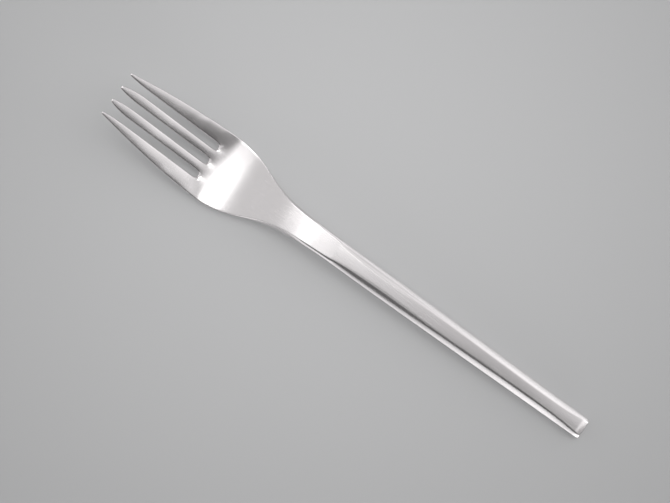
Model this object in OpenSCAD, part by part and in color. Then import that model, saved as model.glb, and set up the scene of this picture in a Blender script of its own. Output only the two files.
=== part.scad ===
// Dinner fork with four tines, a forged head and a hollow faceted handle.
// +X runs from the tine tips to the butt, +Y to the left, +Z up with the tines curving up.
// The origin is on the table, under the middle of the fork. The fork lies on its back.

/* [Fork] */
// Overall length, from the tine tips to the butt
fork_length = 205; // [190:1:220]
// Length of the head, from the tine tips to the handle joint
head_length = 97; // [94:0.5:102]

/* [Tines] */
// Length of a tine, from its tip to the bottom of the slot
tine_length = 39.7; // [36:0.1:42]
// Distance between the tips of neighbouring tines
tip_pitch = 5.74; // [5.2:0.02:6]
// Distance between neighbouring slots at their roots
slot_pitch = 6.2; // [5.8:0.05:6.4]
// Width of a slot
slot_w = 2.7; // [2.3:0.05:3]
// Width of a tine at its tip
tip_w = 0.9; // [0.7:0.05:1.2]
// Length over which a tine narrows to its point
point_length = 9; // [6:0.5:12]
// Height of the tips above the table
tip_height = 12.6; // [9:0.1:16]
// Thickness of a tine at its tip
tip_t = 1.1; // [0.9:0.05:1.4]
// Thickness of a tine at its middle
tine_t = 1.9; // [1.6:0.05:2.2]

/* [Bowl and neck] */
// Width across the head at its widest
head_w = 27.3; // [26:0.1:29]
// Thickness at the bottom of the bowl
bowl_t = 2.4; // [2:0.05:2.8]
// Distance from the tips to the bottom of the bowl
bowl_x = 49; // [47:0.5:51]
// Height of the top of the neck above the table
neck_height = 8.3; // [7:0.1:10]
// Distance from the tips to the top of the neck
neck_x = 89; // [86:0.5:92]
// Thickness at the top of the neck
neck_t = 4.2; // [3.6:0.05:4.8]

/* [Handle] */
// Width of the handle
handle_w = 8.46; // [8:0.02:10]
// Height of the top face at the butt, before the butt is rolled off
butt_height = 4.5; // [4.1:0.1:5.2]
// Height of the handle at the joint with the head
joint_t = 4.7; // [4.3:0.05:5.2]
// Length of the flat foot under the butt
foot_length = 16; // [12:0.5:24]
// Angle of the long side facets to the top face
facet_angle = 45; // [42:1:52]
// Height of the facets' lower edge above the table, at the butt
facet_foot = 2.35; // [2.1:0.05:2.6]
// Length over which the butt is rolled off
roll_length = 6; // [4:0.5:8]
// Depth of the roll at the butt
roll_depth = 1.2; // [0.8:0.1:1.6]
// Width of the flat at the very end of the butt
butt_w = 7; // [6:0.1:7.6]

/* [Hollow handle] */
// Wall of the pressed handle shells
shell_wall = 0.8; // [0.6:0.05:0.9]
// Height of the seam between the shells at the joint
seam_joint_height = 6; // [5.6:0.1:6.4]
// Height of the seam between the shells at the butt
seam_butt_height = 1.4; // [1.2:0.05:1.7]
// Length of the tang inside the handle
tang_length = 55; // [40:1:70]
// Width of the tang at the joint
tang_w = 4.6; // [4:0.1:5]
// Height of the tang at the joint
tang_t = 2.2; // [1.8:0.1:2.4]

/* [Hidden] */

// Counts: steps between two stations of a curve, steps round a slot's root, and tines
CURVE_STEPS = 8;
ROOT_STEPS = 8;
TINES = 4;

// The overrun of every cutting shape
over = 1;

// Half widths that the outlines use
half_head = head_w / 2;
half_handle = handle_w / 2;
slot_r = slot_w / 2;
slots_end = tine_length - slot_r;
tip_half_spread = (TINES - 1) / 2 * tip_pitch + tip_w / 2;

// Slopes of the top surface at its stations, as rise over run
tip_slope_share = -0.09;
tine_slope_share = -0.29;
ramp_slope_share = 0.26;
butt_slope_share = -0.066;
joint_slope_share = -0.012;

// Height of a tine's middle, as a share of the rise from the bowl to the tips
tine_rise_share = 0.515;

// The steep part between the bowl and the neck, as shares of that stretch and of its rise
ramp_x_share = 0.36;
ramp_rise_share = 0.355;

// The widest line of the head, the steep and the waisted points of its shoulder
widest_x = (tine_length + bowl_x) / 2;
steep_x_share = 0.36;
steep_w_share = 0.605;
steep_slope_share = -0.405;
waist_x_share = 0.7;
waist_w_share = 0.112;
waist_slope_share = -0.13;
tine_edge_power_share = 1.7;
point_power_share = 2.2;

// Slope of the handle's underside at the joint
underside_slope_share = -0.035;

// The bevel under the butt, and the length over which the butt is drawn in
foot_bevel = shell_wall / 2;
butt_taper_length = 2 * roll_length;

// Width and height of the tang at its tip, as a share of those at the joint
tang_tip_share = 0.6;

foot_x = fork_length - foot_length;

function lerp(a, b, t) = a + (b - a) * t;

// A smooth curve between two stations, each [x, value, slope]
function curve_at(a, b, x) =
    let (run = b[0] - a[0], t = (x - a[0]) / run)
    a[1] * (1 + 2 * t) * pow(1 - t, 2) + run * a[2] * t * pow(1 - t, 2)
    + b[1] * t * t * (3 - 2 * t) - run * b[2] * t * t * (1 - t);

// The same along a list of stations, held level past both of its ends
function along(stations, x, i = 0) =
    x <= stations[0][0] ? stations[0][1]
    : i + 1 >= len(stations) ? stations[i][1]
    : x <= stations[i + 1][0] ? curve_at(stations[i], stations[i + 1], x)
    : along(stations, x, i + 1);

// Places along X where a list of stations is drawn, between two limits
function places(stations, from, to) = [
    for (i = [0 : len(stations) - 2], k = [0 : CURVE_STEPS - 1])
        let (x = lerp(stations[i][0], stations[i + 1][0], k / CURVE_STEPS))
        if (x > from && x < to) x
];

// Heights of the top surface
top_stations = [
    [0, tip_height, tip_slope_share],
    [tine_length / 2, lerp(bowl_t, tip_height, tine_rise_share), tine_slope_share],
    [bowl_x, bowl_t, 0],
    [lerp(bowl_x, neck_x, ramp_x_share), lerp(bowl_t, neck_height, ramp_rise_share), ramp_slope_share],
    [neck_x, neck_height, 0],
    [head_length, lerp(neck_height, butt_height, joint_drop_share()), joint_slope_share],
    [fork_length, butt_height, butt_slope_share],
];
function joint_drop_share() = pow((head_length - neck_x) / (fork_length - neck_x), 2);
function top_z(x) = along(top_stations, x);
joint_z = top_z(head_length);

// Thicknesses of the head
head_t_stations = [
    [0, tip_t, 0],
    [tine_length / 2, tine_t, 0],
    [bowl_x, bowl_t, 0],
    [neck_x, neck_t, 0],
    [head_length, joint_t, 0],
];
function head_t(x) = along(head_t_stations, x);

// Heights of the handle's underside
underside_stations = [
    [head_length, joint_z - joint_t, underside_slope_share],
    [foot_x, 0, 0],
    [fork_length, 0, 0],
];
function underside_z(x) = along(underside_stations, x);

// How far the butt is rolled down, from nothing to the roll's depth at the very end
function roll_z(x) =
    let (t = max(0, 1 - (fork_length - x) / roll_length))
    roll_depth * (1 - sqrt(1 - t * t));

// Half width of the outline: the outer tines, the shoulders, the neck and the handle
shoulder_stations = [
    [widest_x, half_head, 0],
    [lerp(widest_x, neck_x, steep_x_share), lerp(half_handle, half_head, steep_w_share), steep_slope_share],
    [lerp(widest_x, neck_x, waist_x_share), lerp(half_handle, half_head, waist_w_share), waist_slope_share],
    [head_length, half_handle, 0],
];
function outline_w(x) =
    x < widest_x
    ? lerp(half_head, tip_half_spread, pow(1 - x / widest_x, tine_edge_power_share))
    : along(shoulder_stations, x);

// Half width of the handle, drawn in a little towards the butt
function handle_half_w(x) =
    let (t = max(0, 1 - (fork_length - x) / butt_taper_length))
    lerp(half_handle, butt_w / 2, pow(t, point_power_share));

// Centre of slot i at its root, and how far its edge has opened towards the tips
function slot_y(i) = (i - (TINES - 2) / 2) * slot_pitch;
function tip_y(i) = (i - (TINES - 1) / 2) * tip_pitch;
function opened(x) = pow(max(0, 1 - x / point_length), point_power_share);

// The edge of slot i on one side, at x: straight, then drawn over to the tip of the tine there
function slot_edge_y(i, side, x) =
    let (tine = side < 0 ? i : i + 1)
    lerp(slot_y(i) + side * slot_r, tip_y(tine) - side * tip_w / 2, opened(x));

slot_places = [
    for (k = [CURVE_STEPS : -1 : 0]) point_length * k / CURVE_STEPS
];

// Plan of slot i, open past the tips
module slot_plan(i) {
    polygon(concat(
        [for (k = [0 : ROOT_STEPS]) let (a = 180 * k / ROOT_STEPS)
            [slots_end + slot_r * sin(a), slot_y(i) + slot_r * cos(a)]],
        [for (x = slot_places) [x, slot_edge_y(i, -1, x)]],
        [[-over, slot_edge_y(i, -1, 0)], [-over, slot_edge_y(i, 1, 0)]],
        [for (k = [CURVE_STEPS : -1 : 0]) [slot_places[k], slot_edge_y(i, 1, slot_places[k])]]
    ));
}

head_places = concat(
    [for (k = [0 : 2 * CURVE_STEPS - 1]) widest_x * k / CURVE_STEPS / 2],
    places(shoulder_stations, -over, head_length),
    [head_length]
);

// Plan of the head with its slots cut out
module head_plan() {
    difference() {
        polygon(concat(
            [for (x = head_places) [x, -outline_w(x)]],
            [for (k = [len(head_places) - 1 : -1 : 0]) [head_places[k], outline_w(head_places[k])]]
        ));
        for (i = [0 : TINES - 2]) slot_plan(i);
    }
}

// A plate stood on edge: the outline given in X and Z, as wide as w across Y
module across(w) {
    translate([0, w / 2, 0])
        rotate([90, 0, 0])
            linear_extrude(w) children();
}

profile_places = concat([0], places(top_stations, 0, head_length), [head_length]);

module head_profile() {
    polygon(concat(
        [for (x = profile_places) [x, top_z(x)]],
        [for (k = [len(profile_places) - 1 : -1 : 0]) let (x = profile_places[k]) [x, top_z(x) - head_t(x)]]
    ));
}

// Height of the seam between the shells, a straight line
function seam_z(x) =
    lerp(seam_joint_height, seam_butt_height, (x - head_length) / (fork_length - head_length));
tang_end = head_length + tang_length;

// The tang, a tapered bar that lies along the seam
module tang() {
    intersection() {
        across(handle_w)
            polygon([
                [head_length, seam_z(head_length) - tang_t / 2],
                [tang_end, seam_z(tang_end) - tang_t / 2 * tang_tip_share],
                [tang_end, seam_z(tang_end) + tang_t / 2 * tang_tip_share],
                [head_length, seam_z(head_length) + tang_t / 2],
            ]);
        linear_extrude(neck_height)
            polygon([
                [head_length, -tang_w / 2],
                [tang_end, -tang_w / 2 * tang_tip_share],
                [tang_end, tang_w / 2 * tang_tip_share],
                [head_length, tang_w / 2],
            ]);
    }
}

// Wedge above one long facet, lowered by inset for the cavity
facet_pitch = atan((joint_z - facet_foot) / (fork_length - head_length));
module facet_cut(side, inset) {
    drop = inset / cos(facet_angle);
    reach = fork_length - head_length + 2 * over;
    translate([head_length, side * half_handle, joint_z - drop])
        rotate([0, facet_pitch, 0])
            rotate([-side * facet_angle, 0, 0])
                translate([-over, -handle_w, 0])
                    cube([reach, 2 * handle_w, handle_w]);
}

handle_places = concat(
    [head_length],
    places([top_stations[5], top_stations[6]], head_length, fork_length - roll_length),
    [for (k = [0 : CURVE_STEPS]) fork_length - roll_length * (1 - sin(90 * k / CURVE_STEPS))]
);
under_places = concat(
    [head_length],
    places([underside_stations[0], underside_stations[1]], head_length, foot_x),
    [foot_x]
);

// The handle's envelope, drawn in by inset on every side but the joint
module handle_form(inset) {
    last = fork_length - inset;
    difference() {
        intersection() {
            across(handle_w)
                polygon(concat(
                    [for (x = handle_places) [min(x, last), top_z(x) - roll_z(x) - inset]],
                    [[last, inset + foot_bevel], [last - foot_bevel, inset]],
                    [for (k = [len(under_places) - 1 : -1 : 0]) let (x = under_places[k])
                        [x, underside_z(x) + inset]]
                ));
            linear_extrude(neck_height)
                polygon(concat(
                    [for (x = handle_plan_places) [min(x, last), -handle_half_w(x) + inset]],
                    [for (k = [len(handle_plan_places) - 1 : -1 : 0]) let (x = handle_plan_places[k])
                        [min(x, last), handle_half_w(x) - inset]]
                ));
        }
        facet_cut(1, inset);
        facet_cut(-1, inset);
    }
}
handle_plan_places = concat(
    [head_length],
    [for (k = [0 : CURVE_STEPS]) lerp(fork_length - butt_taper_length, fork_length, k / CURVE_STEPS)]
);

// Everything above or below the seam
module seam_side(up) {
    across(2 * handle_w)
        polygon([
            [head_length - over, seam_z(head_length - over)],
            [fork_length + over, seam_z(fork_length + over)],
            [fork_length + over, up * 2 * neck_height],
            [head_length - over, up * 2 * neck_height],
        ]);
}

// Moves a piece from the tips' frame to the fork's own, whose origin is under its middle
module placed() {
    translate([-fork_length / 2, 0, 0]) children();
}

// Forged head: tines, bowl and neck in one piece with the tang
module fork_head() {
    color("silver") placed() {
        intersection() {
            linear_extrude(2 * tip_height) head_plan();
            across(2 * head_w) head_profile();
        }
        tang();
    }
}

// Pressed upper shell with the flat top face and the long facets
module handle_top_shell() {
    color("gainsboro") placed()
        intersection() {
            difference() {
                handle_form(0);
                handle_form(shell_wall);
            }
            seam_side(1);
        }
}

// Pressed lower shell with the flat foot that the fork rests on
module handle_bottom_shell() {
    color("lightgray") placed()
        intersection() {
            difference() {
                handle_form(0);
                handle_form(shell_wall);
            }
            seam_side(-1);
        }
}

// Cast filling that beds the tang and carries the thin shells
module handle_core() {
    color("dimgray") placed()
        difference() {
            handle_form(shell_wall);
            tang();
        }
}

fork_head();
handle_top_shell();
handle_bottom_shell();
handle_core();
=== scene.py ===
import math

import bmesh
import bpy
import numpy as np
from mathutils import Matrix, Vector


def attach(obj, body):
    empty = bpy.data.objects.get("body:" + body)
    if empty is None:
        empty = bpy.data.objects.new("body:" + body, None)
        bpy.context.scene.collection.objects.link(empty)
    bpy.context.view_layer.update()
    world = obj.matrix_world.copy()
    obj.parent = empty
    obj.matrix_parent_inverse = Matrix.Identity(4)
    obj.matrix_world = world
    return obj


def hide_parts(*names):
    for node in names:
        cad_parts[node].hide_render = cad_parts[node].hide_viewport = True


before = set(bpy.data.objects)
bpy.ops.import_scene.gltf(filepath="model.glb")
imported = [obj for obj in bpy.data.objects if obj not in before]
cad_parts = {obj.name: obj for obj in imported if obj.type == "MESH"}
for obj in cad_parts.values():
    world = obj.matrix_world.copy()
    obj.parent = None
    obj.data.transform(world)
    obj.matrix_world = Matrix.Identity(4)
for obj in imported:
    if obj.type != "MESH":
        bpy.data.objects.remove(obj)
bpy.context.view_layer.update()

# A four-tined dinner fork of satin stainless steel, lying on its back.
# Lengths along the fork are in millimetres from the tine tips, as in the part's source.
# placed() turns them into metres in the frame, whose origin is under the fork's middle.


# ---------------------------------------------------------------- the forged head
# Tines, bowl, neck and tang are one piece, forged from stainless steel and ground. The slots are
# milled, their upper ends polished by hand, and every edge is broken so that it doesn't cut a lip.
# The tang sits in the handle's filling, and the neck butts against the two handle shells.

MM = 0.001
SHARP = math.radians(50)
fork_length = 205.0
joint_x = 97.0
tine_length = 39.7
slot_r = 1.35
slots_end = tine_length - slot_r
slot_pitch = 6.2
tip_pitch = 5.74
tip_w = 0.9
point_length = 9.0
half_head = 13.65
half_handle = 4.23
bowl_x = 45.2
neck_x = 89.0
butt_height = 4.5
widest_x = 44.35
seam_at_joint, seam_at_butt = 6.0, 1.4


def placed(points):
    """Millimetres from the tips, as metres in the frame."""
    return (np.asarray(points, float) - (fork_length / 2, 0, 0)) * MM


def lerp(a, b, t):
    return a + (b - a) * t


def bend(a, b, x):
    """Smooth curve between two stations, each (x, value, slope). x is a number, array or signal."""
    run = b[0] - a[0]
    t = (x - a[0]) * (1 / run)
    s = 1 - t
    return a[1] * (1 + 2 * t) * s * s + run * a[2] * t * s * s \
        + b[1] * t * t * (3 - 2 * t) - run * b[2] * t * t * s


def along(stations, x):
    """The same through a list of stations, held level past its ends."""
    x = np.asarray(x, float)
    value = np.full_like(x, stations[0][1])
    for a, b in zip(stations, stations[1:]):
        value = np.where(x > a[0], bend(a, b, np.minimum(x, b[0])), value)
    return value


def each_at(lines, x):
    return [float(along(line, x)) for line in lines]


neck_height = 8.3
joint_z = lerp(neck_height, butt_height, ((joint_x - neck_x) / (fork_length - neck_x)) ** 2)
top_line = [(0, 12.6, -0.2), (20, 7.61, -0.29), (37, 3.5, -0.215), (bowl_x, 2.4, 0), (52, 2.52, 0.042),
            (62, 4.13, 0.254), (76, 7.2, 0.131), (neck_x, neck_height, 0.002), (joint_x, joint_z, -0.012)]
thickness_line = [(0, 1.1, 0), (tine_length / 2, 1.9, 0), (49, 2.4, 0), (neck_x, 4.2, 0),
                  (joint_x, 4.7, 0)]
shoulder_line = [(widest_x, half_head, 0),
                 (lerp(widest_x, neck_x, 0.36), lerp(half_handle, half_head, 0.605), -0.405),
                 (lerp(widest_x, neck_x, 0.7), lerp(half_handle, half_head, 0.112), -0.13),
                 (joint_x, half_handle, 0)]
dish_line = [(2, 0.03, 0), (14, 0.22, 0.03), (26, 0.55, 0.02), (33, 1.03, 0), (38.5, 1.06, 0),
             (46, 0.39, 0), (58, 0.45, 0), (72, -0.44, 0), (86, 0, 0)]
# Depth of the dome across a tine, where it meets its neighbour's. It fades out in the bowl.
dome_line = [(0, 0.4, 0), (18, 0.42, 0), (36, 0.66, 0), (43.5, 0, 0)]
# An edge's round: its radius next to the face, then next to the side. On top there follow the
# width of the facet between the two arcs, and how many degrees steeper it is than the handle's.
top_round = ([(0, 0.45, 0.08), (3, 0.62, 0), (12, 0.45, 0), (36, 0.5, 0), (46, 0.4, 0), (56, 0.25, 0),
              (84, 0.3, 0), (92, 0.42, 0.03), (joint_x, 1.1, 0.18)],
             [(0, 0.34, 0), (12, 0.42, 0), (36, 0.45, 0), (46, 0.38, 0), (56, 0.25, 0), (joint_x, 0.3, 0)],
             [(55, 0, 0), (69, 0.58, 0.02), (84, 0.7, 0), (joint_x, 0.62, 0)],
             [(60, 9, 0), (76, 10, 0), (88, 0.5, 0)])
# How far the facet's foot stands out past the shoulders, to meet the handle's width
flare_line = [(56, 0, 0), (72, 0.33, 0.02), (86, 0.47, 0), (joint_x, 0.37, 0)]
under_round = ([(0, 0.34, 0), (12, 0.45, 0), (36, 0.5, 0), (48, 0.7, 0), (joint_x, 0.6, 0)],
               [(0, 0.34, 0), (12, 0.45, 0), (36, 0.5, 0), (48, 0.7, 0), (joint_x, 0.6, 0)])


def half_width(x):
    tip_spread = 1.5 * tip_pitch + tip_w / 2
    tines = lerp(half_head, tip_spread, np.maximum(0, 1 - x / widest_x) ** 1.7)
    return np.where(x < widest_x, tines, along(shoulder_line, x) + along(flare_line, x))


def slot_edge(slot, side, x):
    """One edge of a slot: straight, then drawn over to the tip of the tine beside it."""
    tine = slot if side < 0 else slot + 1
    at_root = (slot - 1) * slot_pitch + side * slot_r
    at_tip = (tine - 1.5) * tip_pitch - side * tip_w / 2
    return lerp(at_root, at_tip, np.maximum(0, 1 - x / point_length) ** 2.2)


def head_top(x, y):
    return along(top_line, x) + along(dish_line, x) * (y / half_head) ** 2


def head_under(x, y):
    return head_top(x, y) - along(thickness_line, x)


def dome(x, y):
    """How far the domed top of a tine has fallen away at y. Two domes meet in a slot's middle."""
    y, on_tine = np.abs(y), np.minimum(x, slots_end)
    gap = (slot_edge(2, -1, on_tine) + slot_edge(2, 1, on_tine)) / 2
    inner = (slot_edge(1, 1, on_tine) + slot_edge(2, -1, on_tine)) / 2
    outer = (slot_edge(2, 1, on_tine) + half_width(on_tine)) / 2
    over = np.where(y < gap, (y - inner) / (gap - inner), (y - outer) / (outer - gap))
    return along(dome_line, x) * over ** 2


def head_face(x, y):
    return head_top(x, y) - dome(x, y)


head_mesh = bmesh.new()
polish = head_mesh.verts.layers.float.new("polish")
# Points of an edge's round, the lean of the facet's two sides, and the polish that edges get, which also
# paints them a little lighter as a painted sheen
ARC_POINTS = 5
RING = 2 * ARC_POINTS
FACET_LEAN = (39.5, 44.5)
EDGE_POLISH_AND_SHEEN = 0.5


def rounded(by_face, by_side, facet=0.0, steeper=0.0):
    """An edge's round from the side to the face: how far in and how far down each point is.
    Between its two arcs lies a facet that is nearly flat."""
    inner_lean, outer_lean = (math.radians(degrees + steeper) for degrees in FACET_LEAN)
    side = np.linspace(math.pi / 2, outer_lean, ARC_POINTS)
    face = np.linspace(inner_lean, 0, ARC_POINTS)
    facet += (by_face + by_side) / 2 * (math.sin(outer_lean) - math.sin(inner_lean))
    drop = facet * math.tan((inner_lean + outer_lean) / 2)
    inward = np.concatenate([
        by_side * (1 - np.sin(side)),
        by_side * (1 - math.sin(outer_lean)) + facet + by_face * (math.sin(inner_lean) - np.sin(face))])
    down = np.concatenate([
        by_face * (1 - math.cos(inner_lean)) + drop + by_side * (math.cos(outer_lean) - np.cos(side)),
        by_face * (1 - np.cos(face))])
    return inward, down


def face_line(left, right, into_left, into_right, left_round, right_round, sheen, across, level, up):
    """One row of points over the top or under the bottom, with both of its edges rounded."""
    l_in, l_down = rounded(*left_round)
    r_in, r_down = rounded(*right_round)
    l_ring = np.asarray(left) + np.outer(l_in, into_left)
    r_ring = np.asarray(right) + np.outer(r_in, into_right)
    shares = np.arange(1, across + 1)[:, None] / (across + 1)
    middle = lerp(l_ring[-1], r_ring[-1], shares)
    plan = np.vstack([l_ring, middle, r_ring[::-1]])
    drop = np.concatenate([l_down, np.zeros(across), r_down[::-1]])
    shine = np.concatenate([np.full(RING, sheen[0]), np.zeros(across), np.full(RING, sheen[1])])
    shine[RING - 1] /= 2
    shine[-RING] /= 2
    z = level(plan[:, 0], plan[:, 1]) - up * drop
    return np.column_stack([plan, z]), shine


def put(points, shine):
    row = []
    for place, value in zip(placed(points), shine):
        vert = head_mesh.verts.new(place)
        vert[polish] = value
        row.append(vert)
    return row


def join(a, b):
    """Quads between two rows of as many points."""
    for p, q, r, s in zip(a, a[1:], b[1:], b):
        head_mesh.faces.new((p, q, r, s))


def side_normal(y_of, x, side):
    slope = (y_of(x + 0.05) - y_of(x - 0.05)) / 0.1
    into = np.array([side * slope, -side]) if side > 0 else np.array([-slope, 1.0])
    return into / np.hypot(*into)


tine_rows = np.concatenate([[0, 0.04, 0.1, 0.2, 0.32, 0.5, 0.8, 1.2, 1.8, 2.6, 3.5],
                            np.arange(4.5, slots_end - 0.5, 1.0), [slots_end]])
ROOT_STEPS = 8
root_turn = np.radians(np.linspace(0, 90, ROOT_STEPS + 1))[1:]
ACROSS = (9, 7, 7, 9)
# The radii of the edges' rounds at the slots' polished ends, the length of a tip that is rounded
# over, and the least share of its height and width that is left at the very end, squared
slot_end_round = (1.5, 0.3)
tip_round, tip_left = 0.5, 0.003
last_top, last_under = [], []
for tine in range(4):
    def low(x, tine=tine):
        return -half_width(x) if tine == 0 else slot_edge(tine - 1, 1, x)

    def high(x, tine=tine):
        return half_width(x) if tine == 3 else slot_edge(tine, -1, x)

    before = None
    for k in range(len(tine_rows) + ROOT_STEPS):
        turn = 0.0 if k < len(tine_rows) else root_turn[k - len(tine_rows)]
        x = tine_rows[k] if turn == 0 else slots_end + slot_r * math.sin(turn)
        left, right = np.array([x, low(x)]), np.array([x, high(x)])
        into_left, into_right = side_normal(low, x, -1), side_normal(high, x, 1)
        if turn and tine > 0:
            into_left = np.array([math.sin(turn), math.cos(turn)])
            left = np.array([slots_end, (tine - 2) * slot_pitch]) + slot_r * into_left
        if turn and tine < 3:
            into_right = np.array([math.sin(turn), -math.cos(turn)])
            right = np.array([slots_end, (tine - 1) * slot_pitch]) + slot_r * into_right
        plain_t, plain_u = each_at(top_round, x), each_at(under_round, x)
        at_root = math.sin(turn) ** 2
        wide = [lerp(radius, polished, at_root) for radius, polished in zip(plain_t, slot_end_round)]
        # The slots' polished ends get the full polish, which also paints them lighter: a painted sheen.
        lines = [face_line(left, right, into_left, into_right, wide if tine > 0 else plain_t,
                           wide if tine < 3 else plain_t,
                           (lerp(EDGE_POLISH_AND_SHEEN, 1, at_root * (tine > 0)),
                            lerp(EDGE_POLISH_AND_SHEEN, 1, at_root * (tine < 3))),
                           ACROSS[tine], head_face, 1),
                 face_line(left, right, into_left, into_right, plain_u, plain_u, (EDGE_POLISH_AND_SHEEN, EDGE_POLISH_AND_SHEEN),
                           ACROSS[tine], head_under, -1)]
        if x < tip_round:
            shrink = math.sqrt(max(tip_left, 1 - (1 - x / tip_round) ** 2))
            centre = np.mean(np.vstack([lines[0][0], lines[1][0]]), axis=0)
            for points, _ in lines:
                points[:, 1:] = centre[1:] + (points[:, 1:] - centre[1:]) * shrink
        top, under = put(*lines[0]), put(*lines[1])
        if before is None:
            head_mesh.faces.new(top + under[::-1])
        else:
            join(before[0], top)
            join(before[1], under)
            for end in (0, -1):
                join([before[0][end], before[1][end]], [top[end], under[end]])
        before = (top, under)
    last_top.append(before[0])
    last_under.append(before[1])

# The rows of the four tines become one row across the bowl. Between two tines they share the
# point past the end of the slot, so what follows has one column there.


def across_head(rows):
    return rows[0][:-RING + 1] + rows[1][RING:-RING + 1] + rows[2][RING:-RING + 1] + rows[3][RING:]


def bowl_row(x_each, left_x, shares, half_of, level, radii, up):
    """A row across the whole head. shares places each inner column between the two edges."""
    w = half_of(left_x)
    into = side_normal(lambda q: -half_of(q), left_x, -1)
    inward, down = rounded(*radii)
    ring = np.array([left_x, -w]) + np.outer(inward, into)
    x = np.concatenate([ring[:, 0], x_each, ring[::-1, 0]])
    y = np.concatenate([ring[:, 1], shares * -ring[-1, 1], -ring[::-1, 1]])
    drop = np.concatenate([down, np.zeros(len(x_each)), down[::-1]])
    z = level(x, y) - up * drop
    shine = np.concatenate([np.full(RING, EDGE_POLISH_AND_SHEEN), np.zeros(len(x_each)), np.full(RING, EDGE_POLISH_AND_SHEEN)])
    shine[RING - 1] = shine[-RING] = EDGE_POLISH_AND_SHEEN / 2
    return np.column_stack([x, y, z]), shine


def run_on(row, new, ends):
    """The next row of a face, joined on. ends keeps both of its ends for the sides."""
    join(row, new)
    ends[0].append(new[0])
    ends[1].append(new[-1])
    return new


straight_x = 44.0
BLEND_ROWS, BOWL_ROWS = 5, 61
tang_length, tang_end = 55.0, 0.4
tang_half_w, tang_half_t, tang_round = 2.3, 1.1, 0.25
tang_taper, tang_tip = 0.6, 0.8
for rows, level, edge_lines, up in ((last_top, head_face, top_round, 1),
                                    (last_under, head_under, under_round, -1)):
    row = across_head(rows)
    start = np.array([(v.co.x * 1000 + fork_length / 2, v.co.y * 1000) for v in row])
    shares = start[RING:-RING, 1] / start[-RING, 1]
    start_x = start[RING:-RING, 0]
    edge_row = [[row[0]], [row[-1]]]
    for k in range(1, BLEND_ROWS + 1):
        t = k / BLEND_ROWS
        left_x = lerp(tine_length, straight_x, t)
        row = run_on(row, put(*bowl_row(lerp(start_x, straight_x, t), left_x, shares, half_width,
                                        level, each_at(edge_lines, left_x), up)), edge_row)
    for x in np.linspace(straight_x, joint_x, BOWL_ROWS + 1)[1:]:
        row = run_on(row, put(*bowl_row(np.full(len(shares), x), x, shares, half_width,
                                        level, each_at(edge_lines, x), up)), edge_row)

    # The tang carries the same row on: a step down at the joint, then its taper
    def seam(x):
        return lerp(seam_at_joint, seam_at_butt, (x - joint_x) / (fork_length - joint_x))

    for inside in (0, 20, 40, tang_length - tang_end, tang_length):
        x, size = joint_x + inside, lerp(1, tang_taper, inside / tang_length)
        if inside == tang_length:
            size *= tang_tip
        row = run_on(row, put(*bowl_row(np.full(len(shares), x), x, shares,
                                        lambda q, w=tang_half_w * size: w + 0 * q,
                                        lambda p, q, t=tang_half_t * size: seam(p) + up * t,
                                        (tang_round, tang_round), up)), edge_row)
    if up > 0:
        top_sides, top_end = edge_row, row
    else:
        for side in (0, 1):
            join(top_sides[side], edge_row[side])
        head_mesh.faces.new(top_end + row[::-1])

bmesh.ops.remove_doubles(head_mesh, verts=head_mesh.verts, dist=1e-7)
bmesh.ops.recalc_face_normals(head_mesh, faces=head_mesh.faces)
head_data = bpy.data.meshes.new("fork_head_forging")
head_mesh.to_mesh(head_data)
head_mesh.free()
head_data.shade_smooth()
head_data.set_sharp_from_angle(angle=SHARP)
head = bpy.data.objects.new("fork_head_forging", head_data)
bpy.context.scene.collection.objects.link(head)


class Signal:
    """One socket of a node tree. Python sums on it add the Math nodes that work them out."""

    def __init__(self, socket):
        self.socket = socket

    def node(self, kind, settings=None, values=None, out=0):
        """A node beside this one: its settings first, then a value or a signal per socket."""
        made = self.socket.id_data.nodes.new(kind)
        for name, value in (settings or {}).items():
            if name == "points":
                line = made.mapping.curves[0]
                for place, height in value[1:-1]:
                    line.points.new(place, height)
                line.points[0].location, line.points[-1].location = value[0], value[-1]
                made.mapping.update()
            else:
                setattr(made, name, value)
        for name, value in (values or {}).items():
            if isinstance(value, Signal):
                self.socket.id_data.links.new(value.socket, made.inputs[name])
            else:
                made.inputs[name].default_value = value
        return Signal(made.outputs[out])

    def math(self, operation, *others):
        terms = dict(enumerate((self,) + others))
        return self.node("ShaderNodeMath", {"operation": operation}, terms)

    def __add__(self, other): return self.math("ADD", other)
    def __sub__(self, other): return self.math("SUBTRACT", other)
    def __mul__(self, other): return self.math("MULTIPLY", other)
    def __truediv__(self, other): return self.math("DIVIDE", other)
    def __radd__(self, other): return self.math("ADD", other)
    def __rmul__(self, other): return self.math("MULTIPLY", other)

    def __rsub__(self, other):
        return self.node("ShaderNodeMath", {"operation": "SUBTRACT"}, {0: other, 1: self})

    def __rtruediv__(self, other):
        return self.node("ShaderNodeMath", {"operation": "DIVIDE"}, {0: other, 1: self})


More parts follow.
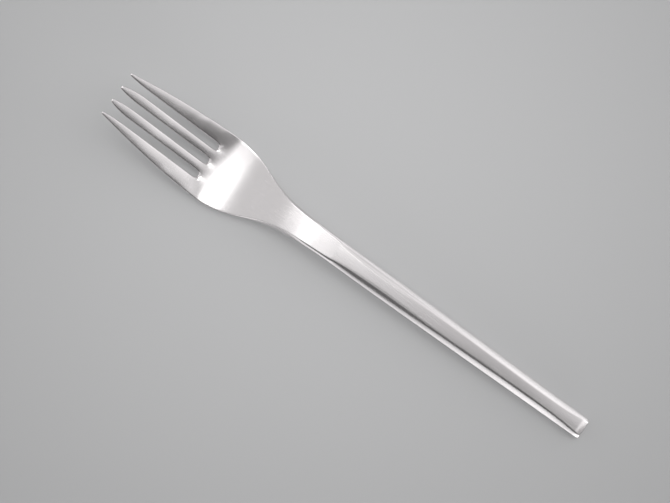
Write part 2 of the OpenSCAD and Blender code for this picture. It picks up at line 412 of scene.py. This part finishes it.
def satin_steel(name, colour, roughness):
    """Stainless steel rubbed along the fork with a fine belt: long hair-thin lines, a slow change
    of sheen from piece to piece of the belt's path, and edges that the buffing has made glossier.
    Their colour is also painted a little lighter there, a painted sheen."""
    material = bpy.data.materials.new(name)
    material.use_nodes = True
    shader = material.node_tree.nodes["Principled BSDF"]
    here = Signal(material.node_tree.nodes.new("ShaderNodeTexCoord").outputs["Object"])

    def lines(across, lengthwise, detail):
        drawn = here.node("ShaderNodeMapping", {}, {"Vector": here, "Scale": (lengthwise, across, across)})
        return here.node("ShaderNodeTexNoise", {"noise_dimensions": "3D"},
                         {"Vector": drawn, "Scale": 1.0, "Detail": detail, "Roughness": 0.6})

    hairs = lines(7000, 90, 3.0)
    streaks = lines(1500, 22, 2.0)
    clouds = here.node("ShaderNodeTexNoise", {}, {"Vector": here, "Scale": 90.0, "Detail": 3.0})
    # Where the steel is buffed it is glossier, and its colour is painted a little lighter: a painted sheen.
    rubbed_with_sheen = here.node("ShaderNodeAttribute", {"attribute_name": "polish"}, out="Fac")
    shader.inputs["Metallic"].default_value = 1.0
    rough = roughness + 0.09 * (hairs - 0.5) + 0.05 * (streaks - 0.5) + 0.06 * (clouds - 0.5)
    here.socket.id_data.links.new((rough - 0.16 * rubbed_with_sheen).math("MAXIMUM", 0.08).socket,
                                  shader.inputs["Roughness"])
    # The buffed places are painted up to 3 per cent lighter: painted sheen.
    tone = 0.965 + 0.05 * (streaks - 0.5) + 0.04 * (hairs - 0.5) + 0.03 * rubbed_with_sheen
    tint = here.node("ShaderNodeVectorMath", {"operation": "SCALE"}, {0: colour, "Scale": tone})
    here.socket.id_data.links.new(tint.socket, shader.inputs["Base Color"])
    ridges = hairs * 0.7 + streaks * 0.3
    bump = here.node("ShaderNodeBump", {}, {"Height": ridges, "Distance": 0.000006, "Strength": 0.5})
    here.socket.id_data.links.new(bump.socket, shader.inputs["Normal"])
    return material


head_satin = satin_steel("head_satin_steel", (0.81, 0.785, 0.788), 0.25)
head_data.materials.append(head_satin)
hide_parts("fork_head")
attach(head, "root")


# ---------------------------------------------------------------- the two handle shells
# The handle is two pressed stainless shells, brazed edge to edge and ground flush. The upper one
# has the slightly crowned top, two long facets that carry on the neck's, and the rolled-off butt.
# The lower one is a plain tray. One rule makes both: a section swept along the fork.

handle_satin = satin_steel("handle_satin_steel", (0.80, 0.775, 0.778), 0.25)
lean_in, lean_out = (math.radians(degrees) for degrees in FACET_LEAN)
# Columns, from the middle, at which the ridge's round, the facet, its edge's round, the side wall
# and the lip at the seam begin, and the last. Rows at which the butt's roll and the end begin.
ARC_1, FACET, ARC_2, WALL, LIP, COLUMNS = 8, 16, 21, 27, 31, 32
ROLL_ROW, END_ROW, LAST_ROW = 102, 120, 126


def handle_tree():
    """Node tree of a handle shell. Its inputs are the sizes of the handle, in millimetres."""
    tree = bpy.data.node_groups.new("handle_shell", "GeometryNodeTree")
    sizes = {"Joint": joint_x, "Butt": fork_length,
             "Joint height": joint_z, "Butt height": butt_height, "Depth at joint": 4.7,
             "Half width": float(half_width(joint_x)), "Half butt": 3.9,
             "Waist": 150.0, "Half waist": 4.37, "Waist height": 7.12,
             "Heel": 180.0, "Heel height": 5.8, "Foot": 189.0,
             "Widest facet": 2.5, "Widest ridge": 4.0, "Facet edge": 0.3, "Tray edge": 0.6,
             "Roll length": 2.8, "Roll depth": 1.0, "End round": 0.45,
             "Seam at joint": seam_at_joint, "Seam at butt": seam_at_butt}
    tree.interface.new_socket("Upper", in_out="INPUT", socket_type="NodeSocketFloat")
    for name, value in sizes.items():
        made = tree.interface.new_socket(name, in_out="INPUT", socket_type="NodeSocketFloat")
        made.default_value = value
    tree.interface.new_socket("Steel", in_out="INPUT", socket_type="NodeSocketMaterial")
    tree.interface.new_socket("Shell", in_out="OUTPUT", socket_type="NodeSocketGeometry")
    inputs = tree.nodes.new("NodeGroupInput")
    size = {name: Signal(inputs.outputs[name]) for name in sizes}
    upper = Signal(inputs.outputs["Upper"])
    lower = 1 - upper
    sign = 2 * upper - 1

    grid = upper.node("GeometryNodeMeshGrid", {}, {
        "Size X": float(LAST_ROW), "Size Y": 2.0 * COLUMNS,
        "Vertices X": LAST_ROW + 1, "Vertices Y": 2 * COLUMNS + 1})
    spot = upper.node("GeometryNodeInputPosition")
    split = spot.node("ShaderNodeSeparateXYZ", {}, {"Vector": spot})
    row = split + LAST_ROW / 2
    column = Signal(split.socket.node.outputs["Y"])
    hand = column.math("SIGN")
    column = column.math("ABSOLUTE")

    def part(value, start, end):
        return value.node("ShaderNodeMapRange", {"clamp": True}, {
            "Value": value, "From Min": float(start), "From Max": float(end)})

    # Where the row stands along the handle: evenly, then closer and closer round the butt
    straight, rolled = part(row, 0, ROLL_ROW), part(row, ROLL_ROW, END_ROW)
    cap = part(row, END_ROW, LAST_ROW)
    run = size["Butt"] - size["Joint"] - size["Roll length"]
    x = size["Joint"] + run * straight + size["Roll length"] * (rolled * (math.pi / 2)).math("SINE")
    left_to_go = size["Butt"] - x

    def quarter(length, depth):
        """How far a quarter round of this length has gone over at x."""
        t = (1 - left_to_go / length).math("MAXIMUM", 0.0).math("MINIMUM", 1.0)
        return depth * (1 - (1 - t * t).math("MAXIMUM", 0.0).math("SQRT"))

    def through(stations):
        """Smooth curve through stations that are signals, at x."""
        value = stations[0][1]
        for a, b in zip(stations, stations[1:]):
            value = value + bend(a, b, x.math("MAXIMUM", a[0]).math("MINIMUM", b[0])) - a[1]
        return value

    # The section at x: its height, half width, seam, and the reach of the facet over the corner
    top = through([(size["Joint"], size["Joint height"], -0.012),
                   (size["Waist"], size["Waist height"], -0.031),
                   (size["Heel"], size["Heel height"], -0.05),
                   (size["Butt"], size["Butt height"], -0.045)]) \
        - quarter(size["Roll length"], size["Roll depth"])
    on_foot = x.math("MINIMUM", size["Foot"])
    under = bend((size["Joint"], size["Joint height"] - size["Depth at joint"], -0.035),
                 (size["Foot"], 0.0, 0.0), on_foot) + quarter(0.4, 0.4)
    w = through([(size["Joint"], size["Half width"], 0.003),
                 (size["Waist"], size["Half waist"], -0.0085),
                 (size["Butt"], size["Half butt"], -0.002)]) \
        - quarter(size["End round"], 0.5 * size["End round"])
    seam_z = size["Seam at joint"] + (size["Seam at butt"] - size["Seam at joint"]) \
        * (x - size["Joint"]) / (size["Butt"] - size["Joint"])
    gone = (x - size["Joint"]) / (size["Butt"] - size["Joint"])
    # Rounds of the two edges of the facet: the ridge is wide and soft past the neck, crisper at
    # the butt
    soft = gone.node("ShaderNodeFloatCurve", {"points": [
        (0.0, 0.275), (0.03, 0.42), (0.065, 0.60), (0.14, 0.78), (0.21, 0.80), (0.29, 0.67),
        (0.36, 0.52), (0.435, 0.41), (0.58, 0.36), (0.77, 0.32), (0.88, 0.30), (1.0, 0.22)]},
        {"Value": gone})
    ridge_r = upper * (size["Widest ridge"] * soft) + lower * size["Tray edge"]
    edge_r = upper * size["Facet edge"] + lower * size["Tray edge"]
    # The facet with its two rounds, seen from above: it runs out at the butt's corners
    reach = gone.node("ShaderNodeFloatCurve", {"points": [
        (0.0, 0.405), (0.046, 0.63), (0.102, 0.72), (0.213, 0.80), (0.306, 0.783), (0.398, 0.760),
        (0.491, 0.770), (0.583, 0.787), (0.676, 0.797), (0.769, 0.811), (0.861, 0.776),
        (0.907, 0.72), (0.954, 0.574), (1.0, 0.42)]},
        {"Value": gone})
    leg = (upper * size["Widest facet"] * reach).math("MAXIMUM", 0.2929 * (ridge_r + edge_r))
    height = upper * top + lower * under
    facet = leg * math.sqrt(2) - math.tan(math.radians(22.5)) * (ridge_r + edge_r)
    facet_r = (facet / (lean_out - lean_in)).math("MAXIMUM", edge_r)
    flat = w - ridge_r * math.sin(lean_in) - facet_r * (math.sin(lean_out) - math.sin(lean_in)) \
        - edge_r * (1 - math.sin(lean_out))
    bulge = 0.5 / lerp(150.0, 50.0, gone)
    wall = (sign * (height - seam_z) - upper * bulge * flat * flat - ridge_r * (1 - math.cos(lean_in))
            - facet_r * (math.cos(lean_in) - math.cos(lean_out))
            - edge_r * math.cos(lean_out)).math("MAXIMUM", 0.02)

    # Walk from the middle of the face, over the ridge, down the facet, over its edge, to the seam
    on_ridge = part(column, ARC_1, FACET) * lean_in
    on_facet = lean_in + part(column, FACET, ARC_2) * (lean_out - lean_in)
    on_edge = lean_out + part(column, ARC_2, WALL) * (math.pi / 2 - lean_out)
    lip = part(column, LIP, COLUMNS)
    across = flat * part(column, 0, ARC_1)
    y = across + ridge_r * on_ridge.math("SINE") + facet_r * (on_facet.math("SINE") - math.sin(lean_in)) \
        + edge_r * (on_edge.math("SINE") - math.sin(lean_out)) - 0.05 * lip
    deep = upper * bulge * across * across + ridge_r * (1 - on_ridge.math("COSINE")) \
        + facet_r * (math.cos(lean_in) - on_facet.math("COSINE")) \
        + edge_r * (math.cos(lean_out) - on_edge.math("COSINE")) + wall * part(column, WALL, LIP)
    z = height - sign * deep
    # At the very end the section closes on the middle of the seam
    y = y * (1 - cap)
    z = seam_z + (z - seam_z) * (1 - cap) * (1 - lip)

    at = x.node("ShaderNodeCombineXYZ", {}, {
        "X": (x - fork_length / 2) * MM, "Y": y * hand * MM, "Z": z * MM})
    swept = grid.node("GeometryNodeSetPosition", {}, {"Geometry": grid, "Position": at})
    # Buffed bands over the ridge's round and the facet edge's round: glossier, and painted a little lighter
    # as a painted sheen.
    rub_with_sheen = 0.5 * (part(column, ARC_1 - 1, ARC_1) - part(column, FACET, FACET + 1)
                 + part(column, ARC_2 - 1, ARC_2) - part(column, WALL, WALL + 1))
    marked = swept.node("GeometryNodeStoreNamedAttribute", {"data_type": "FLOAT", "domain": "POINT"},
                        {"Geometry": swept, "Name": "polish", "Value": rub_with_sheen})
    closed = marked.node("GeometryNodeMergeByDistance", {}, {"Geometry": marked, "Distance": 1e-7})
    real = closed.node("GeometryNodeRealizeInstances", {}, {"Geometry": closed})
    steel = real.node("GeometryNodeSetMaterial", {}, {
        "Geometry": real, "Material": Signal(inputs.outputs["Steel"])})
    output = tree.nodes.new("NodeGroupOutput")
    tree.links.new(steel.socket, output.inputs["Shell"])
    return tree


shell_tree = handle_tree()


def handle_shell(name, upper, node):
    """One shell as a plain mesh: the swept skin, given its wall on the inside."""
    shell = bpy.data.objects.new(name, bpy.data.meshes.new(name))
    bpy.context.scene.collection.objects.link(shell)
    rule = shell.modifiers.new("rule", "NODES")
    rule.node_group = shell_tree
    for socket in shell_tree.interface.items_tree:
        if socket.name == "Upper":
            rule[socket.identifier] = upper
        if socket.name == "Steel":
            rule[socket.identifier] = handle_satin
    bpy.context.view_layer.update()
    made = bpy.data.meshes.new_from_object(shell.evaluated_get(bpy.context.evaluated_depsgraph_get()))
    shell.modifiers.clear()
    shell.data = made
    skin = bmesh.new()
    skin.from_mesh(made)
    bmesh.ops.dissolve_degenerate(skin, edges=skin.edges, dist=1e-8)
    skin.normal_update()
    facing_up = sum(face.normal.z * face.calc_area() for face in skin.faces)
    if facing_up * (2 * upper - 1) < 0:
        bmesh.ops.reverse_faces(skin, faces=skin.faces)
    skin.to_mesh(made)
    skin.free()
    wall = shell.modifiers.new("wall", "SOLIDIFY")
    wall.thickness, wall.offset = 0.0008, -1.0
    bpy.context.view_layer.update()
    walled = bpy.data.meshes.new_from_object(shell.evaluated_get(bpy.context.evaluated_depsgraph_get()))
    shell.modifiers.clear()
    shell.data = walled
    walled.name = name
    for vert in walled.vertices:
        vert.co.x = min(max(vert.co.x, (joint_x - fork_length / 2) * MM), fork_length / 2 * MM)
    walled.shade_smooth()
    walled.set_sharp_from_angle(angle=SHARP)
    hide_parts(node)
    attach(shell, "root")
    return shell


lower_shell = handle_shell("handle_bottom_shell_pressing", 0.0, "handle_bottom_shell")
upper_shell = handle_shell("handle_top_shell_pressing", 1.0, "handle_top_shell")


# ---------------------------------------------------------------- the filling
# A grey cement is cast round the tang and fills the handle. It is sealed in by the shells and
# shows only where the handle is opened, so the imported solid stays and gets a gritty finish.

cement = bpy.data.materials.new("cement_filling")
cement.use_nodes = True
cement_shader = cement.node_tree.nodes["Principled BSDF"]
inside = Signal(cement.node_tree.nodes.new("ShaderNodeTexCoord").outputs["Object"])
grit = inside.node("ShaderNodeTexNoise", {}, {"Vector": inside, "Scale": 1800.0, "Detail": 4.0})
pores = inside.node("ShaderNodeTexVoronoi", {}, {"Vector": inside, "Scale": 900.0}, out="Distance")
# The middles of the pores are painted darker, as painted shade in their pits.
grey = 0.24 + 0.16 * grit - 0.05 * (1 - pores.math("MINIMUM", 1.0))
cement_tone = inside.node("ShaderNodeCombineXYZ", {}, {"X": grey, "Y": grey * 0.98, "Z": grey * 0.93})
pitted = inside.node("ShaderNodeBump", {},
                     {"Height": grit + pores * 0.5, "Distance": 0.00008, "Strength": 0.6})
for made, socket in ((cement_tone, "Base Color"), (0.82 + 0.12 * grit, "Roughness"), (pitted, "Normal")):
    cement.node_tree.links.new(made.socket, cement_shader.inputs[socket])
for slot in bpy.data.objects["handle_core"].material_slots:
    slot.material = cement


# ---------------------------------------------------------------- table, light and camera
# A smooth pale grey table top, a large soft panel above and behind it, and a room round it with a
# window to the right and an unlit side in front. The camera hangs almost straight above the fork.

table_data = bpy.data.meshes.new("table_top")
table_data.from_pydata([(-3, -3, 0), (3, -3, 0), (3, 3, 0), (-3, 3, 0)], [], [(0, 1, 2, 3)])
table = bpy.data.objects.new("table_top", table_data)
bpy.context.scene.collection.objects.link(table)
laminate = bpy.data.materials.new("grey_laminate")
laminate.use_nodes = True
laminate_shader = laminate.node_tree.nodes["Principled BSDF"]
laminate_shader.inputs["Roughness"].default_value = 0.4
laminate_shader.inputs["Specular IOR Level"].default_value = 0.2
on_table = Signal(laminate.node_tree.nodes.new("ShaderNodeTexCoord").outputs["Object"])
# The table's colour pales towards a point near the fork and darkens away from it: a painted pool of light.
from_painted_light_pool = on_table.node("ShaderNodeVectorMath", {"operation": "DISTANCE"},
                          {0: on_table, 1: (-0.028, 0.034, 0)}, out="Value")
painted_light_pool = 1 - 0.38 * from_painted_light_pool.node("ShaderNodeMapRange", {"interpolation_type": "SMOOTHSTEP"},
                                 {"Value": from_painted_light_pool, "From Max": 0.3})
pale = on_table.node("ShaderNodeVectorMath", {"operation": "SCALE"},
                     {0: (0.454, 0.456, 0.459), "Scale": painted_light_pool})
laminate.node_tree.links.new(pale.socket, laminate_shader.inputs["Base Color"])
# For the camera and in reflections the table also glows by 0.3 of its colour, painted pool included:
# painted light that lifts its shadows.
looked_at = on_table.node("ShaderNodeLightPath", out="Is Camera Ray") \
    + on_table.node("ShaderNodeLightPath", out="Is Glossy Ray")
painted_glow = on_table.node("ShaderNodeVectorMath", {"operation": "SCALE"}, {0: pale, "Scale": looked_at})
laminate.node_tree.links.new(painted_glow.socket, laminate_shader.inputs["Emission Color"])
laminate_shader.inputs["Emission Strength"].default_value = 0.3
table_data.materials.append(laminate)

yaw, tilt = math.radians(35.717), math.radians(83.169)
right = Vector((math.cos(yaw), math.sin(yaw), 0))
away = Vector((-math.sin(yaw), math.cos(yaw), 0))
ahead = away * math.cos(tilt) - Vector((0, 0, 1)) * math.sin(tilt)
camera_up = away * math.sin(tilt) + Vector((0, 0, 1)) * math.cos(tilt)
camera_data = bpy.data.cameras.new("camera")
picture_width, focal_length = 670, 1200
camera_data.sensor_width = 36.0
camera_data.lens = focal_length / picture_width * camera_data.sensor_width
camera_data.clip_start, camera_data.clip_end = 0.01, 20
camera = bpy.data.objects.new("camera", camera_data)
camera.matrix_world = Matrix.Translation((0.023974, -0.041545, 0.432266)) @ Matrix(
    (right, camera_up, -ahead)).transposed().to_4x4()
bpy.context.scene.collection.objects.link(camera)
bpy.context.scene.camera = camera


overhead_data = bpy.data.lights.new("overhead_panel", "AREA")
overhead_data.shape, overhead_data.size, overhead_data.size_y = "RECTANGLE", 0.492, 0.87
overhead_data.energy = 2.51 * math.pi * overhead_data.size * overhead_data.size_y
overhead = bpy.data.objects.new("overhead_panel", overhead_data)
overhead.matrix_world = Matrix.Translation(right * -0.062 + away * 0.713 + Vector((0, 0, 1.6))) @ Matrix(
    (right, away, (0, 0, 1))).transposed().to_4x4()
bpy.context.scene.collection.objects.link(overhead)

world = bpy.data.worlds.new("studio")
bpy.context.scene.world = world
world.use_nodes = True
sky = Signal(world.node_tree.nodes.new("ShaderNodeTexCoord").outputs["Generated"])


def towards(direction):
    return sky.node("ShaderNodeVectorMath", {"operation": "DOT_PRODUCT"},
                    {0: sky, 1: tuple(direction)}, out="Value")


def past(value, start, soft):
    """0 before a soft edge and 1 after it."""
    return value.node("ShaderNodeMapRange", {"interpolation_type": "SMOOTHSTEP"}, {
        "Value": value, "From Min": start - soft, "From Max": start + soft})


def between(value, start, end, soft, end_soft=None):
    return past(value, start, soft) * (1 - past(value, end, end_soft or soft))


plus_x, plus_y, beside, beyond = towards((1, 0, 0)), towards((0, 1, 0)), towards(right), towards(away)
upward = towards((0, 0, 1)).math("MAXIMUM", 0.02)
rising = upward.math("ARCSINE")

# The room's walls and ceiling, a window to the far right whose left side slants, and a pale horizon
room = (0.27 * upward - 0.08 - 0.57 * upward * upward + 0.18 * beside - 1.12 * beyond
        - 1.95 * beside * beyond - 0.07 * (beside * beside - beyond * beyond)).math("EXPONENT")
turned = plus_x.math("ARCTAN2", plus_y)
window = past(turned + 0.35 * rising, math.radians(11), math.radians(6)) \
    * (1 - past(turned, math.radians(69), math.radians(21))) \
    * between(rising, math.radians(7), math.radians(62.7), math.radians(10.8))
horizon = (0.5 * plus_y - 0.2 + 0.51 * plus_x - rising * (1 / 0.284)).math("EXPONENT")

# The unlit side of the room in front and its corner to the right, up to the dark shade over the
# camera, and how bright the three still are
forward = (0 - beyond).math("MAXIMUM", 0.02)
front = between(beside / forward, -1.65, 0.794, 0.03) * between(upward / forward, 0.285, 3.41, 0.03) \
    * past(0 - beyond, 0.02, 0.02)
corner = between(beside / forward, 0.8, 2.4, 0.35) \
    * (1 - past(beside / forward + 8 * upward, 8.6, 0.25)) \
    * (1 - past(upward, 0.9, 0.04)) * past(0 - beyond, 0.02, 0.02)
shade = between(beside / upward, -0.093, 0.3045, 0.016) * between(beyond / upward, -0.316, -0.011, 0.016)
front_light, corner_light, shade_light = 0.1165, 0.2, 0.188
lit = (room + 0.66 * window + horizon) * (1 - front) * (1 - corner) \
    + front_light * front + corner_light * corner * (1 - front)
glow = lit * (1 - shade) + shade_light * shade
# What the camera itself sees past the table's edge is an even grey
backdrop = 0.46
path = sky.node("ShaderNodeLightPath", out="Is Camera Ray")
seen = path * backdrop + (1 - path) * glow
background = world.node_tree.nodes["Background"]
world.node_tree.links.new(seen.socket, background.inputs["Strength"])
background.inputs["Color"].default_value = (1.0, 0.995, 1.0, 1)

bpy.context.scene.view_settings.view_transform = "Standard"
